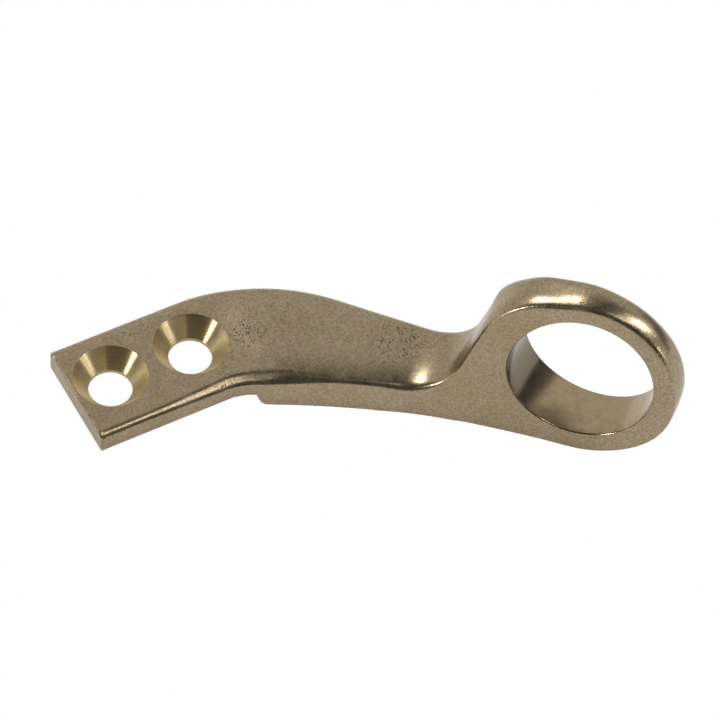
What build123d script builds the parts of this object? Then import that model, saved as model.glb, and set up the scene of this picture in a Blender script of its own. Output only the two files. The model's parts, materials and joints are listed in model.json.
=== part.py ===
from build123d import *
from math import cos, pi, radians, sin, tan
import os

# Bronze eye casting: a flat screw tab, an arm that curves away from it in plan,
# and an upright ring at the arm's end.
#
# Frame: the origin lies midway between the two screw holes, on the tab's seating
# face. +Z is the screw axis, +X runs along the tab towards the arm, and the arm
# swings towards -Y. The front is the flat side of the arm and of the ring.

# ---- driving dimensions, mm and degrees ----

# tab and its screw holes
HOLE_SPACING = 11.1125      # 7/16 in between the screw holes
TAB_LENGTH = 21.43          # 27/32 in, end face to step
TAB_THICKNESS = 3.175       # 1/8 in
TAB_FRONT = 7.71            # hole line to front edge, on the seating face
TAB_BACK = 7.01             # hole line to back edge, on the seating face
TAB_CORNER_RADIUS = 0.9     # upright corner at the tab's back end
HOLE_DIAMETER = 5.5         # 7/32 in clearance hole
SINK_DIAMETER = 9.5         # 3/8 in
SINK_ANGLE = 82

# step under the arm, which hooks over the edge of the mounting surface
STEP_DEPTH = 1.77           # arm underside below the seating face
STEP_CORNER_RADIUS = 1.0    # where the riser meets the arm underside
STEP_ROOT_RADIUS = 0.4      # where the riser meets the seating face

# front and back sides in plan: tab line, arm line or bend, ring line
ARM_ANGLE = 28.8            # arm front face, away from +X
RING_ANGLE = 49.6           # across the bore, away from +X
RING_FRONT_ANGLE = 49.3     # ring's front face
RING_BACK_ANGLE = 51.4      # ring's back face, so that the ring thins to its tip
FRONT_CORNER_X = 8.65       # where the front lines of tab and arm cross
BACK_CORNER_X = 17.98       # where the back lines of tab and ring run together
BACK_NECK_U = -13.22        # end of the back line's ring part, along the ring from the bore
FRONT_BEND_RADIUS = 7.7     # front, tab to arm
FRONT_SWEEP_RADIUS = 114.4  # front, arm to ring
BACK_BEND_RADIUS = 25.6     # back, tab to arm
BACK_BLEND_RADIUS = 69.9    # back, arm to ring
FRONT_LEAN = 8.5            # the front leans back as it rises
BACK_LEAN = 1.5             # so does the back, by less

# ring and its bore
BORE_DIAMETER = 18.256      # 23/32 in
BORE_X = 43.44              # bore's centre on the front face
BORE_Y = -29.99
BORE_Z = 10.31
RING_THICKNESS = 5.47       # front face to back face along the bore's axis
RING_RADIUS = 11.97         # outside of the ring, which runs into the arm's underside

# neck between arm and ring, seen along the bore: U along the ring, V up from the bore
SHOULDER_ANGLE = 14.2       # slope of the neck's shoulder
SHOULDER_RADIUS = 9.22
NECK_ANGLE = 15.9           # neck edge, away from upright
NECK_U = -12.7              # a point on the neck edge
NECK_V = 5.0
NECK_FOOT_RADIUS = 6.78     # where the neck rises from the arm's top

# edge roundings
FRONT_EDGE_RADIUS = 0.23
BACK_EDGE_RADIUS = 1.5
BORE_EDGE_RADIUS = 0.15

# ---- reach of solids that are trimmed later, and tolerances for picking edges ----

REACH = 80
PRISM_HEIGHT = 30
MEAN_ANGLE = 25             # between the headings of tab and ring
NEAR = 0.05
GIRTH_SLACK = 1
STEEP = 0.25                # largest upward part of an upright face's normal
FACING = 0.6                # smallest part of that normal along the way it looks

# ---- directions and places worked out from them ----

floor_z = -STEP_DEPTH
step_x = TAB_LENGTH / 2
tab_end_x = -TAB_LENGTH / 2
upright = Vector(0, 0, 1)
bore_centre = Vector(BORE_X, BORE_Y, BORE_Z)


def heading(angle):
    """Unit vector in plan, turned from +X towards -Y."""
    return Vector(cos(radians(angle)), -sin(radians(angle)), 0)


def rearward(angle):
    """Unit vector in plan, square to that heading and pointing to the back."""
    return Vector(sin(radians(angle)), cos(radians(angle)), 0)


along_ring = heading(RING_ANGLE)
bore_axis = rearward(RING_ANGLE)


def crossing(p, way_p, q, way_q):
    """Where the line through p along way_p meets the one through q along way_q."""
    gap = q - p
    turn = way_p.X * way_q.Y - way_p.Y * way_q.X
    return p + way_p * ((gap.X * way_q.Y - gap.Y * way_q.X) / turn)


def round_corner(sketch, place, radius):
    nearest = sketch.vertices().sort_by_distance(place)[0]
    return fillet(nearest, radius)


# ---- the solid between the front and back sides ----


def side_prism(corners, radii, far_side, draft):
    """Everything to the left of a filleted plan line, leaning in by the draft."""
    path = FilletPolyline(*[(p.X, p.Y) for p in corners], radius=radii)
    first, last = corners[0], corners[-1]
    closing = Polyline(
        (last.X, last.Y),
        (last.X, far_side),
        (first.X, far_side),
        (first.X, first.Y),
    )
    outline = Pos(0, 0, floor_z) * make_face(Wire(path.edges() + closing.edges()))
    return extrude(outline, amount=PRISM_HEIGHT, taper=draft)


def front_side():
    shift = tan(radians(FRONT_LEAN))
    y = -(TAB_FRONT + STEP_DEPTH * shift)
    ring = bore_centre - rearward(RING_FRONT_ANGLE) * (BORE_Z - floor_z) * shift
    start = Vector(-REACH, y, 0)
    tab_corner = Vector(FRONT_CORNER_X, y, 0)
    ring_corner = crossing(tab_corner, heading(ARM_ANGLE), ring, heading(RING_FRONT_ANGLE))
    end = ring_corner + heading(RING_FRONT_ANGLE) * REACH
    corners = [start, tab_corner, ring_corner, end]
    return side_prism(corners, (FRONT_BEND_RADIUS, FRONT_SWEEP_RADIUS), REACH, FRONT_LEAN)


def back_side():
    shift = tan(radians(BACK_LEAN))
    y = TAB_BACK - STEP_DEPTH * shift
    ring = bore_centre + bore_axis * RING_THICKNESS
    ring = ring - rearward(RING_BACK_ANGLE) * (ring.Z - floor_z) * shift
    start = Vector(-REACH, y, 0)
    tab_corner = Vector(BACK_CORNER_X, y, 0)
    ring_corner = ring + heading(RING_BACK_ANGLE) * BACK_NECK_U
    end = ring_corner + heading(RING_BACK_ANGLE) * REACH
    corners = [end, ring_corner, tab_corner, start]
    return side_prism(corners, (BACK_BLEND_RADIUS, BACK_BEND_RADIUS), -2 * REACH, -BACK_LEAN)


# ---- its outline seen from the front ----


def ring_and_neck():
    """The round outside of the ring and the neck beside it, along the bore."""
    view = Plane(origin=bore_centre, x_dir=along_ring, z_dir=-bore_axis)
    bottom = floor_z - BORE_Z
    centre_v = bottom + RING_RADIUS
    slope = radians(SHOULDER_ANGLE)
    shoulder_way = Vector(cos(slope), sin(slope))
    neck_way = Vector(sin(radians(NECK_ANGLE)), cos(radians(NECK_ANGLE)))
    neck_point = Vector(NECK_U, NECK_V)

    # the shoulder leaves the ring as a tangent and crosses the neck edge
    leave = Vector(-RING_RADIUS * sin(slope), centre_v + RING_RADIUS * cos(slope))
    shoulder = crossing(leave, shoulder_way, neck_point, neck_way)
    neck_low = crossing(Vector(0, bottom), Vector(1, 0), neck_point, neck_way)
    neck = Polygon(
        (0, bottom),
        (0, centre_v),
        (leave.X, leave.Y),
        (shoulder.X, shoulder.Y),
        (neck_low.X, neck_low.Y),
        align=None,
    )
    outline = neck + Pos(0, centre_v) * Circle(RING_RADIUS)
    outline = round_corner(outline, shoulder, SHOULDER_RADIUS)
    foot = crossing(Vector(0, TAB_THICKNESS - BORE_Z), Vector(1, 0), neck_point, neck_way)
    return extrude(view * outline, amount=REACH, both=True), view.from_local_coords(foot)


def level_slab():
    """The height of tab and arm, which ends under the bore."""
    place = Plane(origin=(BORE_X, BORE_Y, floor_z), x_dir=along_ring, z_dir=upright)
    sides = (Align.MAX, Align.CENTER, Align.MIN)
    return place * Box(REACH, 2 * REACH, TAB_THICKNESS - floor_z, align=sides)


def elevation():
    ring, foot = ring_and_neck()
    solid = (level_slab() + ring).solid()
    across = [
        edge
        for edge in solid.edges()
        if edge.geom_type == GeomType.LINE and edge.length > REACH
    ]
    corner = min(across, key=lambda edge: edge.distance_to(foot))
    return solid.fillet(NECK_FOOT_RADIUS, [corner])


def past_tab_end():
    return Pos(tab_end_x - REACH, 0, 0) * Box(2 * REACH, 4 * REACH, 4 * REACH)


# ---- edge roundings ----


def side_faces(solid, facing):
    """The upright faces that look one way."""
    chosen = []
    for face in solid.faces():
        normal = face.normal_at(face.center())
        if abs(normal.Z) < STEEP and normal.dot(facing) > FACING:
            chosen.append(face)
    return chosen


def upper_edges(solid, facing):
    """Where those faces meet the top and the outside of the ring."""
    sides = side_faces(solid, facing)
    shared = [edge for face in sides for edge in face.edges()]
    edges = []
    for edge in shared:
        uses = sum(edge.is_same(other) for other in shared)
        middle = edge.center()
        if uses == 1 and middle.Z > floor_z + NEAR and middle.X > tab_end_x + NEAR:
            edges.append(edge)
    return edges


def round_upper_edges(solid):
    front = rearward(MEAN_ANGLE) * -1
    back = rearward(MEAN_ANGLE)
    solid = solid.fillet(FRONT_EDGE_RADIUS, upper_edges(solid, front))
    return solid.fillet(BACK_EDGE_RADIUS, upper_edges(solid, back))


def round_bore_edges(solid):
    girth = pi * BORE_DIAMETER
    rims = [edge for edge in solid.edges() if abs(edge.length - girth) < GIRTH_SLACK]
    return solid.fillet(BORE_EDGE_RADIUS, rims)


# ---- what is cut away ----


def outside_corner(centre, radius, sides):
    """What lies outside the round about a centre, towards one corner."""
    size = 2 * radius
    return centre * Rectangle(size, size, align=sides) - centre * Circle(radius)


def below_tab():
    """The space under the tab, with the rounded riser of the step."""
    side = Polyline(
        (-REACH, 0),
        (step_x, 0),
        (step_x, -REACH),
        (-REACH, -REACH),
        close=True,
    )
    outline = round_corner(make_face(side), Vector(step_x, 0), STEP_ROOT_RADIUS)
    centre = Pos(step_x + STEP_CORNER_RADIUS, floor_z + STEP_CORNER_RADIUS)
    outline = outline + outside_corner(centre, STEP_CORNER_RADIUS, (Align.MAX, Align.MAX))
    return extrude(Plane.XZ * outline, amount=REACH, both=True)


def tab_corner_waste():
    """What rounding removes from the upright corner at the tab's back end."""
    centre = Pos(tab_end_x + TAB_CORNER_RADIUS, TAB_BACK - TAB_CORNER_RADIUS)
    outline = outside_corner(centre, TAB_CORNER_RADIUS, (Align.MAX, Align.MIN))
    return extrude(outline, amount=2 * TAB_THICKNESS, both=True)


def screw_hole(x):
    hole = Pos(x, 0, 0) * Cylinder(HOLE_DIAMETER / 2, 4 * TAB_THICKNESS)
    sink_depth = SINK_DIAMETER / 2 / tan(radians(SINK_ANGLE / 2))
    sink = Pos(x, 0, TAB_THICKNESS - sink_depth / 2) * Cone(0, SINK_DIAMETER / 2, sink_depth)
    return hole + sink


def bore():
    line = Plane(origin=bore_centre, z_dir=bore_axis)
    return line * Cylinder(BORE_DIAMETER / 2, REACH)


# ---- the casting ----


def eye_casting():
    body = (front_side() & back_side() & elevation() - past_tab_end()).solid()
    body = round_upper_edges(body)
    body = (body - below_tab()).solid()
    body = body - tab_corner_waste()
    for x in (-HOLE_SPACING / 2, HOLE_SPACING / 2):
        body = body - screw_hole(x)
    body = (body - bore()).solid()
    return round_bore_edges(body)


if __name__ == "__main__":
    os.makedirs("parts", exist_ok=True)
    export_step(eye_casting(), "parts/eye_casting.step")
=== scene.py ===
import json
import math

import bmesh
import bpy
import numpy as np
from mathutils import Matrix, Vector
from mathutils.bvhtree import BVHTree


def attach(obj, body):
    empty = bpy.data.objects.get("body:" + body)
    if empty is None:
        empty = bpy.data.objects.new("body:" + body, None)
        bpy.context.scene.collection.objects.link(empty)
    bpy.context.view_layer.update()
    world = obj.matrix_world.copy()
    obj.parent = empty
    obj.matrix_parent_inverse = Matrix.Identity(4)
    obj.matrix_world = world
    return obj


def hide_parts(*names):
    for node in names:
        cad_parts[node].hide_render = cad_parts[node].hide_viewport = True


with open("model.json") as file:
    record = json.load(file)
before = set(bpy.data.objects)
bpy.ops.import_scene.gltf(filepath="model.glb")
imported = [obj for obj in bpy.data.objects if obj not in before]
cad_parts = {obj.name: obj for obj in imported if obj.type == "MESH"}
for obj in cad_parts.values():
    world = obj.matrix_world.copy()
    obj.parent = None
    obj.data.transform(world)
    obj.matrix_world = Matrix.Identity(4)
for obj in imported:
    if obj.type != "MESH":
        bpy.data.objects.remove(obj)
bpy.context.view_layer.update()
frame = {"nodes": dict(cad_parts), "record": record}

# Lengths are in millimetres for the casting and its materials, in metres for floor, light and camera.
MM = 0.001

# ---- places taken from the frame ----

mounts = {m["name"]: m for m in frame["record"]["mounts"]}
bore = mounts["eye_bore"]
BORE_R = bore["dims"]["r_mm"]
BORE_AXIS = Vector(bore["axis"]).normalized()
BORE_MID = Vector(bore["pos_m"]) / MM
UP = Vector((0, 0, 1))
ALONG = BORE_AXIS.cross(UP).normalized()          # level, in the ring's plane, away from the arm
HOLE_R = mounts["screw_holes"]["dims"]["hole_r_mm"]
HOLE_X = mounts["screw_holes"]["dims"]["spacing_x_mm"] / 2

# ---- sizes the frame doesn't state ----

TAB_TOP = 3.175                                   # the tab's upper face above its seating face
SINK_R = 4.75                                     # countersink at the tab's upper face
SINK_SLOPE = math.tan(math.radians(37))           # how steeply its wall falls to the hole
BORE_ROUND = 0.2                                  # round on both rims of the bore
FRONT_HEADING = 25                                # degrees from -Y to -X: the front side's mean facing
BORE_OVERLAP, SINK_OVERLAP = 0.35, 0.4            # how far a filling reaches into the metal round it
VOXEL = 0.16                                      # the sculpted skin's grid
CIRCLE = [2 * math.pi * i / 256 for i in range(256)]
BEYOND = 20                                       # from the bore's middle to well clear of the casting


# ---- meshes ----


def mesh_arrays(me):
    """Corner points and triangles of a mesh."""
    me.calc_loop_triangles()
    co = np.empty(len(me.vertices) * 3)
    me.vertices.foreach_get("co", co)
    tri = np.empty(len(me.loop_triangles) * 3, dtype=np.int32)
    me.loop_triangles.foreach_get("vertices", tri)
    return co.reshape(-1, 3), tri.reshape(-1, 3)


def search_tree(co, tri):
    return BVHTree.FromPolygons(co.tolist(), tri.tolist())


def new_object(name, verts, faces):
    me = bpy.data.meshes.new(name)
    me.from_pydata([tuple(v) for v in verts], [], faces)
    obj = bpy.data.objects.new(name, me)
    bpy.context.scene.collection.objects.link(obj)
    return obj


def closed_stack(name, rings):
    """A closed skin over rings of points, with one face across each end."""
    n = len(rings[0])
    faces = []
    for k in range(len(rings) - 1):
        for i in range(n):
            j = (i + 1) % n
            faces.append((k * n + i, k * n + j, (k + 1) * n + j, (k + 1) * n + i))
    faces.append(tuple(range(n - 1, -1, -1)))
    faces.append(tuple(range((len(rings) - 1) * n, len(rings) * n)))
    obj = new_object(name, [p for ring in rings for p in ring], faces)
    bm = bmesh.new()
    bm.from_mesh(obj.data)
    bmesh.ops.recalc_face_normals(bm, faces=bm.faces)
    bm.to_mesh(obj.data)
    bm.free()
    return obj


def apply_modifier(obj, kind, **settings):
    mod = obj.modifiers.new(kind, kind)
    for key, value in settings.items():
        setattr(mod, key, value)
    graph = bpy.context.evaluated_depsgraph_get()
    graph.update()
    made = bpy.data.meshes.new_from_object(obj.evaluated_get(graph))
    obj.modifiers.clear()
    obj.data = made


def combine(obj, tools, operation):
    """Adds or cuts each tool in turn, then deletes it."""
    for tool in tools:
        apply_modifier(obj, "BOOLEAN", operation=operation, object=tool, solver="MANIFOLD")
        bpy.data.objects.remove(tool)


def on_bore(angle, radius, s):
    """A point round the bore's axis: angle from level, radius, and distance along the axis."""
    return BORE_MID + (ALONG * math.cos(angle) + UP * math.sin(angle)) * radius + BORE_AXIS * s


def bore_reaches(shape, radius):
    """How far along the bore's axis a shape's front and back faces lie, all round a circle."""
    reaches = []
    for side in (-1, 1):
        hits = [shape.ray_cast(on_bore(a, radius, side * BEYOND), BORE_AXIS * -side)[0] for a in CIRCLE]
        reaches.append([(hit - BORE_MID).dot(BORE_AXIS) for hit in hits])
    return reaches


def hole_rings(x, levels):
    """Rings round a screw hole's axis, one for each radius and height."""
    return [[Vector((x + r * math.cos(a), r * math.sin(a), z)) for a in CIRCLE] for r, z in levels]


# ---- the rough casting: bore and screw holes filled, evenly remeshed ----

cad_co, cad_tri = mesh_arrays(frame["nodes"]["eye_casting"].data)
cad_co /= MM
casting = new_object("casting", cad_co, cad_tri.tolist())
bm = bmesh.new()
bm.from_mesh(casting.data)
bmesh.ops.remove_doubles(bm, verts=bm.verts, dist=1e-4)
bm.to_mesh(casting.data)
bm.free()

plug_r = BORE_R + BORE_OVERLAP
sink_plug_r = SINK_R + SINK_OVERLAP
plug_reaches = bore_reaches(search_tree(cad_co, cad_tri), plug_r)
plug_rings = [[on_bore(a, plug_r, s) for a, s in zip(CIRCLE, reach)] for reach in plug_reaches]
plugs = [closed_stack("bore_plug", plug_rings)]
for x in (-HOLE_X, HOLE_X):
    plugs.append(closed_stack("hole_plug", hole_rings(x, ((sink_plug_r, 0.0), (sink_plug_r, TAB_TOP)))))
combine(casting, plugs, "UNION")
apply_modifier(casting, "REMESH", mode="VOXEL", voxel_size=VOXEL, adaptivity=0.0)


# ---- sculpted forms ----

AXIS, ACROSS, MID = np.array(BORE_AXIS), np.array(ALONG), np.array(BORE_MID)
heading = math.radians(FRONT_HEADING)
MEAN_FRONT = np.array((-math.sin(heading), -math.cos(heading), 0))

FACING = 0.6                                      # how squarely a front or back face looks that way
TAB_TO_ARM = (9.5, 15)                            # X where the tab's shaping gives way to the arm's
ARM_TO_RING = (-17, -11)                          # along the ring, where the arm's gives way to the ring's
SIDE_REACH, OUTER_REACH = 12, 3                   # how far a point looks for the front or back, and outwards
SIDE_FADE = 2.2                                   # depth at which the upper shaping has faded out
ON_FACE = 0.03                                    # a point this near a face belongs to it
BREAK_SLOPE = 0.56                                # the hand-broken front edge of tab and arm
BREAK_WIDTH = 0.7                                 # its width at the free end, then from X, to X, change
BREAK_CHANGES = ((-6, 11, 0.5), (12, 20, -0.85), (23, 30, -0.35))
TAB_FALL, TAB_FALL_WIDTH = 0.17, 9.0              # the tab's slight fall to its front edge
TAB_FALL_END = (0, 26)                            # X over which that fall runs out
TAB_ROUND = 0.35                                  # round under the broken edge
UPRIGHT = 0.13                                    # how much less than the arm's the tab's front leans in
ARM_RAISE, RING_RAISE = 0.3, 0.12                 # crown heights at the middle of arm and ring

# swells of the ring: degrees round from its far side, half width, height
BACK_SWELLS = ((103, 20, 0.27), (138, 9, -0.18), (159, 7, 0.24))
LOW_SWELL = (-28, 22, 0.25)


def smoothstep(lo, hi, x):
    t = np.clip((x - lo) / (hi - lo), 0, 1)
    return t * t * (3 - 2 * t)


def bowl(t, width, drop):
    """Fall towards an edge: nothing beyond the width, the whole drop at the edge."""
    return drop * np.clip(1 - t / width, 0, 1) ** 2


def bulge(x, centre, width, height):
    return height * np.exp(-(((x - centre) / width) ** 2))


def from_bore(p):
    """The part of each point's offset from the bore's middle that is square to its axis."""
    q = p - MID
    return q - (q @ AXIS)[:, None] * AXIS


def unit(rows):
    return rows / np.maximum(np.linalg.norm(rows, axis=1), 1e-9)[:, None]


def cad_sides():
    """Search trees of the CAD's front faces, back faces, and the outer faces between them."""
    a, b, c = (cad_co[cad_tri[:, i]] for i in range(3))
    n = unit(np.cross(b - a, c - a))
    in_bore = np.linalg.norm(from_bore((a + b + c) / 3), axis=1) < BORE_R + 0.4
    under = n[:, 2] < -0.9
    facing, steep = n @ MEAN_FRONT, np.abs(n[:, 2]) < 0.2
    outer = (np.abs(facing) <= FACING) & ~in_bore & ~under
    sides = (steep & (facing > FACING), steep & (facing < -FACING), outer)
    return [search_tree(cad_co, cad_tri[side]) for side in sides]


def nearest(faces, co, limit):
    """Each point's distance to some faces, at most the limit, and the nearest face's normal."""
    far, normals = np.full(len(co), float(limit)), np.zeros((len(co), 3))
    for i, p in enumerate(co):
        hit = faces.find_nearest(Vector(p), limit)
        if hit[0] is not None:
            far[i], normals[i] = hit[3], hit[1]
    return far, normals


def keep_on(faces, moved, which):
    """Slides chosen points back onto the planes of their nearest faces."""
    for i in np.nonzero(which)[0]:
        hit = faces.find_nearest(Vector(moved[i]), 1.0)
        if hit[0] is not None:
            normal = np.array(hit[1])
            moved[i] -= normal * ((moved[i] - np.array(hit[0])) @ normal)


def roll(to_side, to_top, radius, inside):
    """Turns an edge's points onto a round: their shifts along the side's and the top's normals."""
    side, top = np.clip(1 - to_side / radius, 0, None), np.clip(1 - to_top / radius, 0, None)
    far = np.maximum(np.hypot(side, top), 1e-9)
    scale = np.minimum(1 / far, 1)
    scale[inside] = (np.maximum(side, top) / far)[inside]
    scale[(side == 0) | (top == 0)] = 1
    return (side * (scale - 1) * radius)[:, None], (top * (scale - 1) * radius)[:, None]


def relax(co, edges, weight, rounds):
    """Evens the surface by moving each point towards the middle of its neighbours."""
    n = len(co)
    a, b = edges.T
    count = np.bincount(edges.ravel(), minlength=n)[:, None]
    for _ in range(rounds):
        sums = [np.bincount(a, c[b], n) + np.bincount(b, c[a], n) for c in co.T]
        co = co + (np.stack(sums, axis=1) / count - co) * weight[:, None]
    return co


class Skin:
    """Where each point of the plain casting lies, before anything moves."""

    def __init__(self, co):
        self.front, self.back, outer = cad_sides()
        self.co, self.x, self.z = co, co[:, 0], co[:, 2]
        self.u = (co - MID) @ ACROSS              # along the ring's plane, from the bore's middle
        self.radial = unit(from_bore(co))
        self.degrees = np.degrees(np.arctan2(self.radial @ np.array(UP), self.radial @ ACROSS))
        self.to_front, self.front_normal = nearest(self.front, co, SIDE_REACH)
        self.to_back = nearest(self.back, co, SIDE_REACH)[0]

        # how much of each point belongs to ring, arm and tab, and which way its surface lifts
        self.ring = smoothstep(*ARM_TO_RING, self.u)
        past_tab = smoothstep(*TAB_TO_ARM, self.x)
        self.arm, self.tab = past_tab * (1 - self.ring), 1 - past_tab
        self.lift = unit(np.array(UP) * (1 - self.ring)[:, None] + self.radial * self.ring[:, None])

        # how deep each point lies under the upper surface, or under the ring's outside
        under_outer = nearest(outer, co, OUTER_REACH)[0]
        self.depth = self.tab * (TAB_TOP - self.z) + (1 - self.tab) * under_outer


def surface_fall(skin):
    """How far the cast surface lies below the CAD's."""
    break_width = BREAK_WIDTH + sum(change * smoothstep(lo, hi, skin.x) for lo, hi, change in BREAK_CHANGES)
    edge_break = BREAK_SLOPE * np.clip(break_width - skin.to_front, 0, None)
    across_tab = np.clip(1 - skin.to_front / TAB_FALL_WIDTH, 0, 1)
    tab_fall = TAB_FALL * (1 - smoothstep(*TAB_FALL_END, skin.x)) * across_tab

    # the arm's front edge is hollowed, most of all by the neck, and its back edge falls away
    hollow = (0.42 + bulge(skin.u, -19, 4, 0.3)) * bowl(skin.to_front, 4.5, 1.0)
    arm_fall = hollow + bowl(skin.to_back, 5.0, 0.5) - ARM_RAISE

    # the ring's crown is full round the top, fades down the far side and returns by the neck
    crown = 0.25 + 0.75 * smoothstep(-15, 30, skin.degrees) + 0.75 * smoothstep(-120, -150, skin.degrees)
    ring_fall = crown * bowl(skin.to_front, 2.1, 0.5) + bowl(skin.to_back, 2.4, 0.25) - RING_RAISE
    back_swells = sum(bulge(skin.degrees, *swell) for swell in BACK_SWELLS)
    ring_fall -= back_swells * (1 - smoothstep(0.5, 4.0, skin.to_back)) + bulge(skin.degrees, *LOW_SWELL)
    return (1 - skin.ring) * edge_break + tab_fall + skin.arm * arm_fall + skin.ring * ring_fall


def lower_surface(skin):
    """Drops the upper surface, less and less down the sides, which stay on their own faces."""
    upper = skin.ring + (1 - skin.ring) * smoothstep(0.2, 1.4, skin.z)
    drop = surface_fall(skin) * upper * (1 - smoothstep(0.0, SIDE_FADE, skin.depth))
    moved = skin.co - skin.lift * drop[:, None]
    dropped = np.abs(drop) > 1e-3
    keep_on(skin.front, moved, (skin.to_front < ON_FACE) & dropped)
    keep_on(skin.back, moved, (skin.to_back < ON_FACE) & dropped)
    return moved


def shape_tab_front(skin, moved):
    """Stands the tab's front face more upright than the arm's, and rounds the edge above it."""
    outwards = unit(skin.front_normal * (1, 1, 0))
    upright = UPRIGHT * skin.tab * np.clip(skin.z, 0, None) * (1 - smoothstep(0.3, 3.0, skin.to_front))
    inside = (skin.x < skin.x.min() + 0.08) & (skin.to_front > 0.12) & (skin.depth > 0.12)
    inward, down = roll(skin.to_front, skin.depth, TAB_ROUND, inside)
    off_ring = (1 - skin.ring)[:, None]
    moved += (inward * off_ring + upright[:, None]) * outwards + down * off_ring * skin.lift


def soften(skin, moved, edges):
    """Evens the whole skin a little, the neck and the upper edges more."""
    everywhere = (0.5 - 0.2 * skin.tab) * smoothstep(-10.2, -9.2, skin.x)
    moved = relax(moved, edges, everywhere, 3)
    near_top = 0.6 * (1 - smoothstep(0.6, 1.6, skin.depth))
    near_front = 1 - smoothstep(0.8, 2.0, skin.to_front)
    near_back = 1 - smoothstep(1.0, 3.0, skin.to_back)
    neck = smoothstep(-23, -19, skin.u) * (1 - smoothstep(-15, -11, skin.u))
    soft = np.clip(neck + 0.25 * skin.arm + 0.2 * skin.ring, 0, 1)
    moved = relax(moved, edges, near_top * near_front * soft, 20)
    return relax(moved, edges, near_top * near_back * (1 - skin.tab), 16)


edges = np.empty(len(casting.data.edges) * 2, dtype=np.int32)
casting.data.edges.foreach_get("vertices", edges)
skin = Skin(mesh_arrays(casting.data)[0])
sculpted = lower_surface(skin)
shape_tab_front(skin, sculpted)
sculpted = soften(skin, sculpted, edges.reshape(-1, 2))
casting.data.vertices.foreach_set("co", sculpted.ravel())
casting.data.update()


# ---- machined cuts: bore, screw holes and countersinks ----

# the bore cutter's outline: a lead-in clear of the face, then a round, at front and back
rim_r = BORE_R + BORE_ROUND
turns = [math.radians(a) for a in (22.5, 45, 67.5, 90)]
arc = [(rim_r - BORE_ROUND * math.sin(a), BORE_ROUND * (1 - math.cos(a))) for a in turns]
lead_in = (arc[0][0] + math.cos(turns[0]), arc[0][1] - math.sin(turns[0]))
arc.insert(0, lead_in)
front_reach, back_reach = bore_reaches(search_tree(*mesh_arrays(casting.data)), rim_r)
profile = [(r, front_reach, ds) for r, ds in arc] + [(r, back_reach, -ds) for r, ds in reversed(arc)]
bore_rings = [[on_bore(a, r, s + ds) for a, s in zip(CIRCLE, reach)] for r, reach, ds in profile]
cutters = [closed_stack("bore_cutter", bore_rings)]

# radius and height: above the countersink, its mouth, its wall, and the hole below it
SINK_LEVELS = (
    (SINK_R + 0.7, TAB_TOP + 0.6),
    (SINK_R + 0.04, TAB_TOP),
    (SINK_R - 0.06, TAB_TOP - 0.1),
    (HOLE_R, TAB_TOP - (SINK_R - HOLE_R) / SINK_SLOPE),
    (HOLE_R, -2.0),
)
for x in (-HOLE_X, HOLE_X):
    cutters.append(closed_stack("hole_cutter", hole_rings(x, SINK_LEVELS)))
combine(casting, cutters, "DIFFERENCE")


# ---- which faces are cast, which are turned ----

CAST, BORED, SUNK = 0, 1, 2
INWARD = 0.4                                      # how squarely a turned face looks at its axis
END_FACE_X = -10.0                                # beyond this lies the tab's end face
CRISP, SOFT = 10, 32                              # degrees an edge turns before it shows: there, elsewhere


def face_slots(me):
    """The material of each face: turned where it lines the bore or a countersink, else cast."""
    n = len(me.polygons)
    centre, normal = np.empty(n * 3), np.empty(n * 3)
    me.polygons.foreach_get("center", centre)
    me.polygons.foreach_get("normal", normal)
    centre, normal = centre.reshape(-1, 3), normal.reshape(-1, 3)
    slots = np.full(n, CAST, dtype=np.int32)
    linings = [(from_bore(centre), rim_r + 0.05, BORED)]
    for x in (-HOLE_X, HOLE_X):
        linings.append(((centre - (x, 0, 0)) * (1, 1, 0), SINK_R + 0.1, SUNK))
    for offset, reach, slot in linings:
        inward = -(normal * unit(offset)).sum(1)
        slots[(np.linalg.norm(offset, axis=1) < reach) & (inward > INWARD)] = slot
    return slots


def finish_mesh(me):
    """Smooth faces with true edges kept sharp, scaled to metres."""
    bm = bmesh.new()
    bm.from_mesh(me)
    for face in bm.faces:
        face.smooth = True
    for edge in bm.edges:
        limit = CRISP if edge.verts[0].co.x < END_FACE_X else SOFT
        edge.smooth = edge.calc_face_angle(0) <= math.radians(limit)
    bmesh.ops.scale(bm, vec=(MM, MM, MM), verts=bm.verts)
    bm.to_mesh(me)
    bm.free()


me = casting.data
slots = face_slots(me)
finish_mesh(me)


# ---- materials ----


class Graph:
    """A node tree, with short names for the nodes used here."""

    def __init__(self, owner):
        owner.use_nodes = True
        self.tree = owner.node_tree

    def node(self, kind, **inputs):
        made = self.tree.nodes.new(kind)
        for key, value in inputs.items():
            self.feed(made.inputs[key.replace("_", " ")], value)
        return made

    def feed(self, socket, value):
        if isinstance(value, bpy.types.NodeSocket):
            self.tree.links.new(value, socket)
        else:
            socket.default_value = value

    def vector(self, op, a, b=None, scale=None):
        made = self.node("ShaderNodeVectorMath")
        made.operation = op
        self.feed(made.inputs[0], a)
        if b is not None:
            self.feed(made.inputs[1], b)
        if scale is not None:
            self.feed(made.inputs["Scale"], scale)
        return made.outputs["Value" if op in ("LENGTH", "DOT_PRODUCT") else "Vector"]

    def math(self, op, a, b=0.0):
        made = self.node("ShaderNodeMath")
        made.operation = op
        self.feed(made.inputs[0], a)
        self.feed(made.inputs[1], b)
        return made.outputs[0]

    def step(self, value, lo, hi, out_lo=0.0, out_hi=1.0):
        made = self.node("ShaderNodeMapRange")
        made.interpolation_type = "SMOOTHSTEP"
        names = ("Value", "From Min", "From Max", "To Min", "To Max")
        for name, given in zip(names, (value, lo, hi, out_lo, out_hi)):
            self.feed(made.inputs[name], given)
        return made.outputs["Result"]


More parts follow.
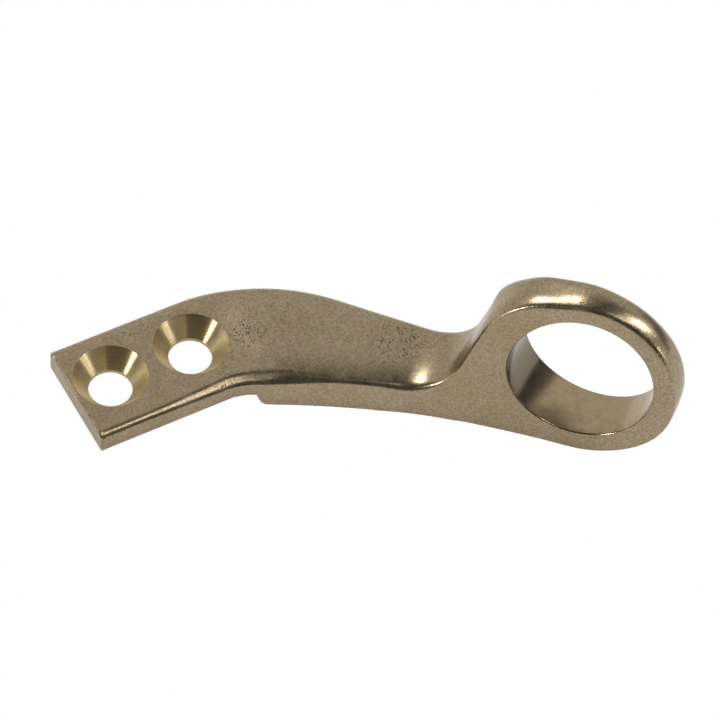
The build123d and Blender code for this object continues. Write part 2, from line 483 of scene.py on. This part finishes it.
class Material(Graph):
    """A material with one shader."""

    def __init__(self, name):
        self.material = bpy.data.materials.new(name)
        super().__init__(self.material)
        self.shader = self.tree.nodes["Principled BSDF"]

    def set(self, **inputs):
        for key, value in inputs.items():
            self.feed(self.shader.inputs[key.replace("_", " ")], value)
        return self.material


class Finish(Material):
    """A material whose patterns are sized in millimetres on the part."""

    def __init__(self, name):
        super().__init__(name)
        self.place = self.vector("SCALE", self.node("ShaderNodeTexCoord").outputs["Object"], scale=1 / MM)

    def noise(self, size, detail=3.0, rough=0.5, place=None):
        made = self.node(
            "ShaderNodeTexNoise", Vector=place or self.place, Scale=1 / size, Detail=detail, Roughness=rough
        )
        return made.outputs["Fac"]

    def mix(self, fac, a, b):
        made = self.node("ShaderNodeMix")
        made.data_type = "RGBA"
        self.feed(made.inputs["Factor"], fac)
        colours = [socket for socket in made.inputs if socket.type == "RGBA"]
        for socket, value in zip(colours, (a, b)):
            self.feed(socket, value)
        return next(socket for socket in made.outputs if socket.type == "RGBA")

    def bump(self, height, distance, below=None):
        made = self.node("ShaderNodeBump", Height=height, Distance=distance * MM, Strength=1.0)
        if below is not None:
            self.feed(made.inputs["Normal"], below)
        return made.outputs["Normal"]


def rgba(r, g, b):
    return (r, g, b, 1.0)


PIT_PATCHES = (((12.5, -1.5, 3.2), 3.6), ((29.0, -11.5, 3.2), 4.2))   # middle and reach of each
PIT_SPACING = 0.36


def casting_pits(g):
    """Small round pits, gathered in patches on the upper side: 1 in a pit, else 0."""
    cells = g.node("ShaderNodeTexVoronoi", Vector=g.place, Scale=1 / PIT_SPACING, Randomness=1.0)
    size = g.math("MULTIPLY", g.noise(0.7, 0.0), 0.8)
    pit = g.math("SUBTRACT", 1.0, g.step(g.math("DIVIDE", cells.outputs["Distance"], size), 0.55, 1.0))
    gather = g.step(g.noise(5.5, 1.0), 0.56, 0.7, 0, 0.6)
    for place, reach in PIT_PATCHES:
        away = g.vector("LENGTH", g.vector("SUBTRACT", g.place, place))
        ragged = g.math("ADD", away, g.math("MULTIPLY", g.noise(1.3, 2.0), 2.4))
        gather = g.math("MAXIMUM", gather, g.step(ragged, reach - 0.6, reach + 1.2, 1, 0))
    normal = g.node("ShaderNodeNewGeometry").outputs["Normal"]
    upper = g.step(g.vector("DOT_PRODUCT", normal, tuple(UP)), 0.6, 0.9)
    return g.math("MULTIPLY", pit, g.math("MULTIPLY", gather, upper))


def cast_bronze():
    """As-cast skin: warm brown-grey, fine grain, dark flecks, and patches of pits coloured dark with painted
    shade.
    """
    g = Finish("cast_bronze")
    olive, warm, pale = rgba(0.285, 0.226, 0.137), rgba(0.32, 0.256, 0.173), rgba(0.33, 0.256, 0.185)
    grain_dark, fleck_dark = rgba(0.17, 0.135, 0.078), rgba(0.13, 0.1, 0.06)
    pit_shade = rgba(0.07, 0.055, 0.035)
    patch, grain, fleck = g.noise(2.6, 4.0, 0.6), g.noise(0.33, 3.0, 0.65), g.noise(0.17, 2.0, 0.6)
    pit = casting_pits(g)
    colour = g.mix(g.step(g.noise(9.0, 2.0), 0.35, 0.65), olive, warm)
    colour = g.mix(g.step(patch, 0.42, 0.72, 0, 0.5), colour, pale)
    colour = g.mix(g.step(grain, 0.36, 0.64, 0, 0.6), colour, grain_dark)
    colour = g.mix(g.step(fleck, 0.54, 0.72, 0, 0.6), colour, fleck_dark)
    # painted shade: the pits are real dents, and their dark colour stands in for the shade inside them
    colour = g.mix(g.math("MULTIPLY", pit, 0.8), colour, pit_shade)
    skin = g.bump(g.noise(0.22, 2.0, 0.6), 0.006)
    skin = g.bump(g.noise(1.2, 2.0), 0.006, skin)
    skin = g.bump(g.math("SUBTRACT", 1.0, pit), 0.008, skin)
    return g.set(
        Base_Color=colour,
        Metallic=1.0,
        Roughness=g.math("ADD", g.step(patch, 0.3, 0.7, 0.24, 0.33), g.math("MULTIPLY", pit, 0.25)),
        Normal=skin,
        Specular_Tint=rgba(0.92, 0.9, 0.87),
    )


def bored():
    """The bore's wall: bright from the boring tool, with painted shade darkening it on the arm side."""
    g = Finish("bored_wall")
    rel = g.vector("SUBTRACT", g.place, tuple(BORE_MID))
    deep = g.vector("DOT_PRODUCT", rel, tuple(BORE_AXIS))
    side = g.vector("DOT_PRODUCT", rel, tuple(ALONG))
    bright, grooved = rgba(0.31, 0.243, 0.15), rgba(0.23, 0.18, 0.11)
    # worn is real wear; the darker tone is painted shade for the arm side of the wall
    worn, darker_tone = rgba(0.21, 0.165, 0.1), rgba(0.145, 0.115, 0.08)
    rings = g.noise(0.2, 3.0, 0.6, g.node("ShaderNodeCombineXYZ", Z=deep).outputs[0])
    wear = g.noise(1.0, 4.0, 0.65)
    unshaded_wall = g.mix(g.step(rings, 0.35, 0.7, 0, 0.3), bright, grooved)
    unshaded_wall = g.mix(g.step(wear, 0.4, 0.7, 0, 0.5), unshaded_wall, worn)
    # painted shade: the arm side of the wall is coloured darker, behind a ragged border
    ragged = g.math("ADD", side, g.math("MULTIPLY", wear, 0.5))
    return g.set(
        Base_Color=g.mix(g.step(ragged, -6.4, -4.4), darker_tone, unshaded_wall),
        Metallic=1.0,
        Roughness=g.step(wear, 0.3, 0.7, 0.15, 0.22),
        Normal=g.bump(rings, 0.001),
        Anisotropic=0.3,
        Tangent=tuple(BORE_AXIS),
    )


def countersink():
    """Turned rings about whichever screw hole is nearer, with fan-shaped streaks across them."""
    g = Finish("turned_countersink")
    parts = g.node("ShaderNodeSeparateXYZ", Vector=g.place).outputs
    side = g.math("SIGN", parts["X"])
    across = g.math("SUBTRACT", parts["X"], g.math("MULTIPLY", side, HOLE_X))
    outwards = g.node("ShaderNodeCombineXYZ", X=across, Y=parts["Y"]).outputs[0]
    level = g.node("ShaderNodeCombineXYZ", X=g.math("MULTIPLY", side, 9.0), Z=parts["Z"]).outputs[0]
    rings = g.noise(0.09, 2.0, 0.6, level)
    bright, darker_tone = rgba(0.56, 0.445, 0.24), rgba(0.24, 0.19, 0.095)
    return g.set(
        Base_Color=g.mix(g.step(rings, 0.35, 0.65, 0, 0.8), bright, darker_tone),
        Metallic=1.0,
        Roughness=g.step(g.noise(1.0, 2.0), 0.3, 0.7, 0.31, 0.36),
        Normal=g.bump(rings, 0.004),
        Anisotropic=1.0,
        Tangent=g.vector("NORMALIZE", outwards),
    )


finishes = {CAST: cast_bronze(), BORED: bored(), SUNK: countersink()}
me.materials.clear()
for slot in sorted(finishes):
    me.materials.append(finishes[slot])
me.polygons.foreach_set("material_index", slots)

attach(casting, "root")
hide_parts("eye_casting")


# ---- floor ----


def pale_floor():
    """White to the camera; what the metal mirrors is plain paper, shaded under the casting."""
    g = Material("pale_floor")
    g.set(
        Base_Color=rgba(0.5, 0.5, 0.5),
        Roughness=0.9,
        Emission_Color=rgba(1.0, 1.0, 1.0),
        Emission_Strength=0.62,
    )
    either = g.node("ShaderNodeMixShader")
    g.feed(either.inputs[0], g.node("ShaderNodeLightPath").outputs["Is Camera Ray"])
    g.feed(either.inputs[1], g.shader.outputs[0])
    g.feed(either.inputs[2], g.node("ShaderNodeEmission").outputs[0])
    g.feed(g.tree.nodes["Material Output"].inputs["Surface"], either.outputs[0])
    return g.material


low = min(v.co.z for v in me.vertices)
FLOOR_HALF = 3.0                                  # metres
corners = [(x * FLOOR_HALF, y * FLOOR_HALF, low) for x, y in ((-1, -1), (1, -1), (1, 1), (-1, 1))]
floor = new_object("floor", corners, [(0, 1, 2, 3)])
floor.data.materials.append(pale_floor())


# ---- camera ----

# the lens, place and tilt that bring the holes, the tab and the bore where the photo shows them
FOCAL = 197.4265
CAMERA_PLACE = Vector((-138.3655, -251.3909, 399.1375))
CAMERA_TURN = (35.98084, -3.78135, -28.77566)     # degrees

scene = bpy.context.scene
lens = bpy.data.cameras.new("camera")
lens.lens = FOCAL
lens.sensor_width = 36.0
lens.clip_start, lens.clip_end = 0.01, 20.0
camera = bpy.data.objects.new("camera", lens)
camera.location = CAMERA_PLACE * MM
camera.rotation_euler = [math.radians(a) for a in CAMERA_TURN]
scene.collection.objects.link(camera)
scene.camera = camera
scene.view_settings.view_transform = "Standard"


# ---- light ----

AIM = Vector((22, -14, 7)) * MM
LIGHT_FAR = 0.9                                   # metres


def softbox(name, direction, long_side, length, width, power):
    """An oval light facing the casting, its long side turned along one direction."""
    light = bpy.data.lights.new(name, "AREA")
    light.shape = "ELLIPSE"
    light.size, light.size_y = length, width
    light.energy = power
    obj = bpy.data.objects.new(name, light)
    back = Vector(direction).normalized()
    side = Vector(long_side)
    side = (side - back * side.dot(back)).normalized()
    obj.location = AIM + back * LIGHT_FAR
    obj.rotation_euler = Matrix((side, back.cross(side), back)).transposed().to_euler()
    scene.collection.objects.link(obj)


softbox("rear_left", (-0.20, 0.53, 0.82), (-0.27, 0.48, -0.71), 0.36, 0.1, 2.6)
softbox("right", (0.62, -0.37, 0.68), (0.38, -0.12, -0.4), 0.4, 0.1, 2.1)
softbox("right_long", (0.32, -0.41, 0.85), (0.28, 0.04, -0.09), 0.8, 0.17, 1.7)
softbox("low_left", (-0.93, 0.02, 0.363), (0, 0, 1), 0.24, 0.17, 3.6)
softbox("low_front", (0.633, -0.724, 0.279), (0, 0, 1), 0.14, 0.12, 0.5)


def cos_deg(degrees):
    return math.cos(math.radians(degrees))


def light_tent():
    """Bright all round, but for a dark gap round the camera and a dark opening low on the right."""
    world = bpy.data.worlds.new("tent")
    g = Graph(world)
    incoming = g.node("ShaderNodeNewGeometry").outputs["Incoming"]
    turn = camera.rotation_euler.to_matrix()
    # seen from the camera, sideways offsets count half: the gap reaches further to the sides
    ways = {"X": Vector((0.5, 0, 0)), "Y": Vector((0, 1, 0)), "Z": Vector((0, 0, 1))}
    seen = {name: g.vector("DOT_PRODUCT", incoming, tuple(-(turn @ way))) for name, way in ways.items()}
    flat = g.vector("NORMALIZE", g.node("ShaderNodeCombineXYZ", **seen).outputs[0])
    near_camera = g.node("ShaderNodeSeparateXYZ", Vector=flat).outputs["Z"]
    gap = g.step(near_camera, cos_deg(71), cos_deg(50), 1.0, 0.12)
    right = -Vector((0.99, -0.1, 0.12)).normalized()
    opening = g.step(g.vector("DOT_PRODUCT", incoming, tuple(right)), cos_deg(30), cos_deg(14), 1.0, 0.2)
    background = g.tree.nodes["Background"]
    g.feed(background.inputs["Color"], rgba(1.0, 0.99, 0.97))
    g.feed(background.inputs["Strength"], g.math("MULTIPLY", gap, opening))
    return world


scene.world = light_tent()
